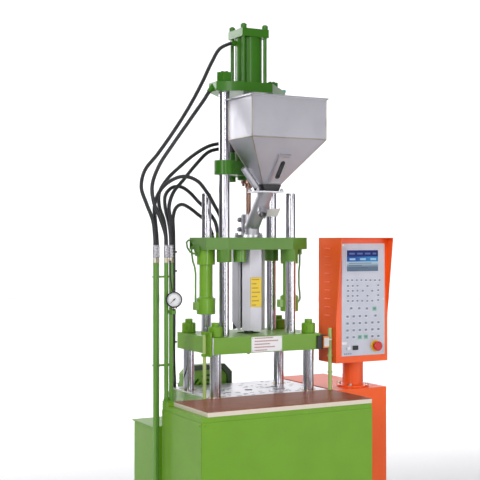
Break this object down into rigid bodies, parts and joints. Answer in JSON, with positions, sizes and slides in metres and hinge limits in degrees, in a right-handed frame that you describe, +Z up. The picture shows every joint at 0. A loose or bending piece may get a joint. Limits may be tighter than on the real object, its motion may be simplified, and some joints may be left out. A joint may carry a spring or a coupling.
{
  "type": "injection moulding machine",
  "caption": "Vertical plastic injection moulding machine with a four-bar clamp on a bed, an injection unit on its upper platen, a hopper and a swivelling control box.",
  "frame": {"origin": "on the floor, in the middle of the machine's footprint", "axes": "+Z up, -Y towards the operator in front, +X to the operator's right"},
  "size_m": [1.0645, 0.9, 2.319],
  "materials": {
    "green_paint": "gloss apple green enamel",
    "dark_green_paint": "gloss leaf green enamel",
    "orange_paint": "gloss orange enamel",
    "worktop_board": "lacquered brown board with a pale edge",
    "chrome": "hard chromed and ground",
    "satin_steel": "satin stainless sheet",
    "ground_steel": "ground steel plate",
    "bronze": "plain bronze",
    "dark_metal": "black enamel",
    "heated_copper": "copper brown heat-tinted steel",
    "zinc_steel": "zinc plated",
    "black_rubber": "smooth black hose cover",
    "white_plate": "white printed plate",
    "panel_grey": "light grey membrane panel",
    "red_plastic": "red moulded",
    "black_plastic": "black moulded",
    "gauge_case": "black case with a white dial"
  },
  "bodies": {
    "base": {"bed_frame": "green_paint", "front_panel": "green_paint", "side_panels": "green_paint", "levelling_feet": "dark_metal", "worktop": "worktop_board", "bolster": "ground_steel", "tie_bar_bushes": "bronze", "side_cabinet": "orange_paint", "control_post": "orange_paint", "post_bolts": "zinc_steel", "oil_tank": "green_paint", "pump_motor": "dark_green_paint", "motor_cowl": "dark_green_paint", "steel_pipes": "green_paint", "pipe_ferrules": "zinc_steel", "pressure_gauge": "gauge_case", "stop_rods": "green_paint", "clamp_cylinder": "green_paint", "hose_head": "black_rubber", "hose_foot": "black_rubber", "hose_motor_in": "black_rubber", "hose_motor_out": "black_rubber", "hose_carriage_up": "black_rubber", "hose_carriage_down": "black_rubber", "cable_loom": "black_rubber"},
    "gauge_needle": {"gauge_needle": "black_plastic"},
    "platen": {"clamp_piston_rod": "chrome", "lower_crosshead": "green_paint", "tie_bars": "chrome", "tie_bar_nuts": "green_paint", "upper_platen": "green_paint", "locating_ring": "ground_steel", "notice_plate": "white_plate", "rod_brackets": "green_paint", "limit_switch": "dark_metal", "guide_posts": "chrome", "carriage_piston_rods": "chrome"},
    "carriage": {"carriage_plate": "green_paint", "carriage_cylinders": "green_paint", "carriage_pipes": "green_paint", "barrel": "ground_steel", "heater_bands": "satin_steel", "barrel_guard": "satin_steel", "feed_block": "ground_steel", "feed_tube": "satin_steel", "hopper": "satin_steel", "hopper_base": "satin_steel", "injection_columns": "chrome", "top_plate": "dark_green_paint", "column_nuts": "dark_green_paint", "injection_cylinder": "dark_green_paint"},
    "drain_flap": {"drain_flap": "satin_steel"},
    "crosshead": {"crosshead": "dark_green_paint", "injection_piston_rod": "chrome", "hydraulic_motor": "dark_metal"},
    "screw": {"screw": "heated_copper"},
    "control_box": {"control_housing": "orange_paint", "control_panel": "panel_grey"},
    "estop_button": {"estop_button": "red_plastic"},
    "key_switch": {"key_switch": "zinc_steel"}
  },
  "joints": [
    {"name": "clamp_slide", "type": "slide", "parent": "base", "child": "platen", "axis": [0, 0, 1], "range_m": [-0.06, 0.1], "deforming": ["hose_head", "hose_foot", "hose_motor_in", "hose_motor_out", "hose_carriage_up", "hose_carriage_down", "cable_loom"]},
    {"name": "carriage_slide", "type": "slide", "parent": "platen", "child": "carriage", "axis": [0, 0, 1], "range_m": [0, 0.07], "deforming": ["hose_head", "hose_foot", "hose_motor_in", "hose_motor_out", "hose_carriage_up", "hose_carriage_down", "cable_loom"]},
    {"name": "injection_slide", "type": "slide", "parent": "carriage", "child": "crosshead", "axis": [0, 0, 1], "range_m": [-0.09, 0.03], "deforming": ["hose_motor_in", "hose_motor_out"]},
    {"name": "screw_spin", "type": "hinge", "parent": "crosshead", "child": "screw", "pos_m": [-0.0525, -0.012, 1.65], "axis": [0, 0, 1], "continuous": true},
    {"name": "control_swivel", "type": "hinge", "parent": "base", "child": "control_box", "pos_m": [0.4005, -0.112, 0.92], "axis": [0, 0, 1], "range_deg": [0, 75]},
    {"name": "estop_push", "type": "slide", "parent": "control_box", "child": "estop_button", "axis": [0, 1, 0], "range_m": [0, 0.005], "stiffness_N_per_m": 1200, "springref_m": -0.003},
    {"name": "key_turn", "type": "hinge", "parent": "control_box", "child": "key_switch", "pos_m": [0.3185, -0.197, 0.981], "axis": [0, -1, 0], "range_deg": [-90, 0]},
    {"name": "needle_turn", "type": "hinge", "parent": "base", "child": "gauge_needle", "pos_m": [-0.44991, -0.13865, 1.201], "axis": [-0.4695, -0.8829, 0], "range_deg": [-265, 0], "stiffness_Nm_per_rad": 0.0005, "springref_deg": 2.86},
    {"name": "flap_hinge", "type": "hinge", "parent": "carriage", "child": "drain_flap", "pos_m": [-0.016, -0.09865, 1.5448], "axis": [0, -0.6513, 0.7589], "range_deg": [-60, 20]}
  ]
}
